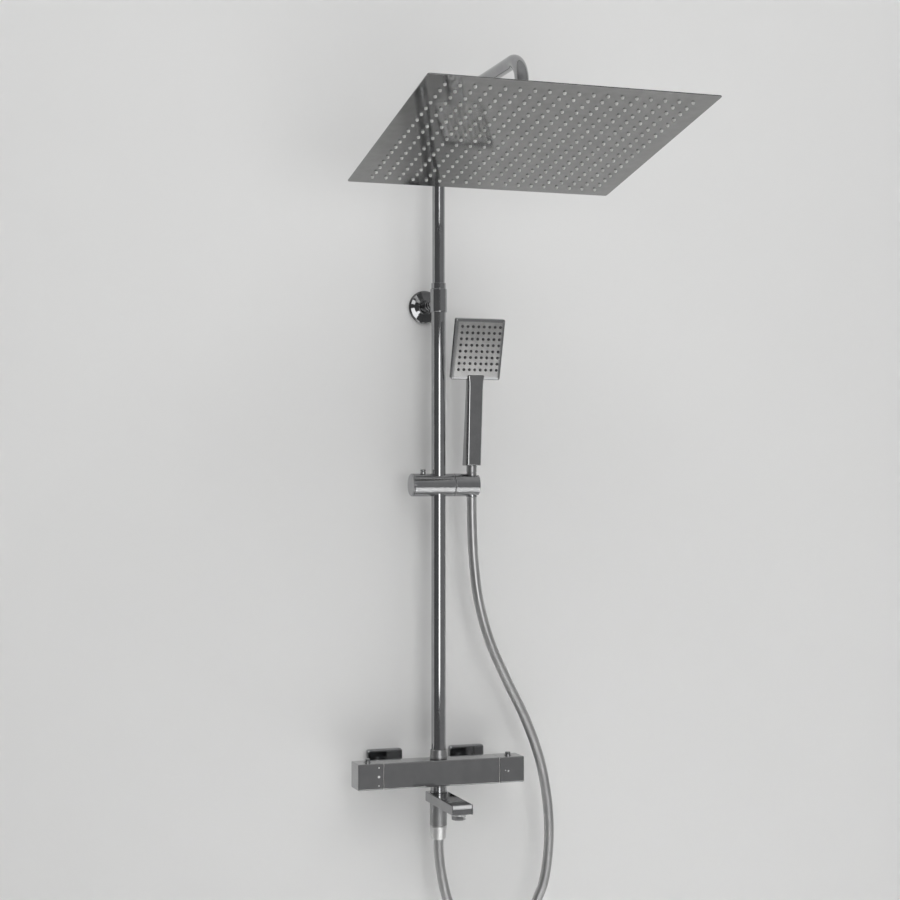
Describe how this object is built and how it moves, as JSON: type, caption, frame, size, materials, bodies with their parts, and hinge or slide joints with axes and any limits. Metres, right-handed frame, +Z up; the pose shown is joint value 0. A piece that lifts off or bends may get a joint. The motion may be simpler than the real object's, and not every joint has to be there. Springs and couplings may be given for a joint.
{
  "type": "rainfall shower column",
  "caption": "Wall shower column with a bar mixer, telescopic riser and arm, square rain head, hand shower on a slider, hose and bath spout.",
  "frame": {"origin": "centre of the upper wall bracket's back face, on the wall", "axes": "+Z up along the column, +Y into the wall, +X to the right for the user who faces the wall"},
  "size_m": [0.44, 0.7063, 1.4442],
  "materials": {
    "chrome": "bright chrome plate on brass",
    "steel": "mirror-polished stainless steel",
    "brass": "bare machined brass",
    "plated_plastic": "chrome-plated ABS",
    "plastic": "black acetal",
    "rubber": "matt EPDM",
    "silicone": "soft grey silicone",
    "hose": "smooth silver PVC"
  },
  "bodies": {
    "column": {"wall_plate": "steel", "wall_flange": "chrome", "bracket_stem": "chrome", "wall_collar": "chrome", "lock_ring": "chrome", "lock_ring_screw": "steel", "lower_tube": "chrome", "column_nut": "chrome", "column_nipple": "brass", "mixer_body": "chrome", "diverter_cartridge": "brass", "thermostat_cartridge": "brass", "escutcheon_left": "chrome", "escutcheon_right": "chrome", "wall_union_left": "brass", "wall_union_right": "brass", "filter_washer_left": "rubber", "filter_washer_right": "rubber", "union_nut_left": "chrome", "union_nut_right": "chrome", "outlet_pipe": "chrome", "hose_outlet_body": "chrome", "check_valve": "plastic", "hose_nut": "chrome", "hose_washer": "rubber", "hose": "hose"},
    "telescope": {"riser_guide": "plastic"},
    "riser": {"upper_tube": "chrome", "ball_nut": "chrome"},
    "head_swivel": {"seat_ring": "plastic"},
    "head_tilter": {"ball_seal": "rubber"},
    "rain_head": {"ball_stem": "brass", "head_boss": "chrome", "head_lock_nut": "brass", "head_back": "steel", "head_nozzle_mat": "silicone", "head_face": "steel"},
    "slider_carriage": {"slider_bush": "plastic"},
    "slider_barrel": {"slider_body": "plated_plastic", "slider_end_cap": "plated_plastic", "lock_spring": "steel", "tilt_pin": "steel", "tilt_washer": "plastic"},
    "slider_lock": {"lock_button": "plated_plastic"},
    "handset_holder": {"holder": "plated_plastic"},
    "handset": {"handset_grip": "plated_plastic", "handset_shell": "plated_plastic", "handset_face": "plated_plastic", "handset_nozzle_mat": "silicone", "handset_connector": "plated_plastic", "handset_washer": "rubber", "hose_cone_nut": "chrome"},
    "flow_control": {"flow_handle": "plated_plastic", "eco_spring": "steel"},
    "eco_stop": {"eco_button": "plated_plastic"},
    "temperature_control": {"temperature_handle": "plated_plastic", "safety_spring": "steel"},
    "safety_stop": {"safety_button": "plated_plastic"},
    "bath_spout": {"spout": "chrome", "aerator": "plastic"}
  },
  "joints": [
    {"name": "riser_slide", "type": "slide", "parent": "column", "child": "telescope", "axis": [0, 0, 1], "range_m": [-0.08, 0.12]},
    {"name": "riser_swivel", "type": "hinge", "parent": "telescope", "child": "riser", "pos_m": [0, -0.08, 0.03], "axis": [0, 0, 1], "range_deg": [-45, 45]},
    {"name": "head_spin", "type": "hinge", "parent": "riser", "child": "head_swivel", "pos_m": [0, -0.49183, 0.24474], "axis": [0, 0.1857, 0.9826], "continuous": true},
    {"name": "head_pitch", "type": "hinge", "parent": "head_swivel", "child": "head_tilter", "pos_m": [0, -0.49183, 0.24474], "axis": [1, 0, 0], "range_deg": [-10, 10]},
    {"name": "head_roll", "type": "hinge", "parent": "head_tilter", "child": "rain_head", "pos_m": [0, -0.49183, 0.24474], "axis": [0, 0.9826, -0.1857], "range_deg": [-10, 10]},
    {"name": "slider_slide", "type": "slide", "parent": "column", "child": "slider_carriage", "axis": [0, 0, 1], "range_m": [-0.08, 0.24], "deforming": ["hose"]},
    {"name": "slider_swivel", "type": "hinge", "parent": "slider_carriage", "child": "slider_barrel", "pos_m": [0, -0.08, -0.312], "axis": [0, 0, 1], "range_deg": [-90, 35], "deforming": ["hose"]},
    {"name": "lock_press", "type": "slide", "parent": "slider_barrel", "child": "slider_lock", "axis": [0, 0, 1], "range_m": [-0.0025, 0], "stiffness_N_per_m": 400, "springref_m": 0.0008, "deforming": ["lock_spring"]},
    {"name": "holder_tilt", "type": "hinge", "parent": "slider_barrel", "child": "handset_holder", "pos_m": [0.045, -0.08, -0.312], "axis": [1, 0, 0], "range_deg": [-12, 30], "deforming": ["hose"]},
    {"name": "handset_lift", "type": "slide", "parent": "handset_holder", "child": "handset", "axis": [0, 0, 1], "range_m": [0, 0.06], "deforming": ["hose"]},
    {"name": "flow_turn", "type": "hinge", "parent": "column", "child": "flow_control", "pos_m": [-0.125, -0.08, -0.801], "axis": [1, 0, 0], "range_deg": [-60, 60]},
    {"name": "eco_press", "type": "slide", "parent": "flow_control", "child": "eco_stop", "axis": [0, 0, 1], "range_m": [-0.0025, 0], "stiffness_N_per_m": 400, "springref_m": 0.0008, "deforming": ["eco_spring"]},
    {"name": "temperature_turn", "type": "hinge", "parent": "column", "child": "temperature_control", "pos_m": [0.125, -0.08, -0.801], "axis": [1, 0, 0], "range_deg": [-30, 110]},
    {"name": "safety_press", "type": "slide", "parent": "temperature_control", "child": "safety_stop", "axis": [0, 0, 1], "range_m": [-0.0025, 0], "stiffness_N_per_m": 400, "springref_m": 0.0008, "deforming": ["safety_spring"]},
    {"name": "spout_swivel", "type": "hinge", "parent": "column", "child": "bath_spout", "pos_m": [0, -0.08, -0.8445], "axis": [0, 0, 1], "range_deg": [-60, 60]}
  ]
}
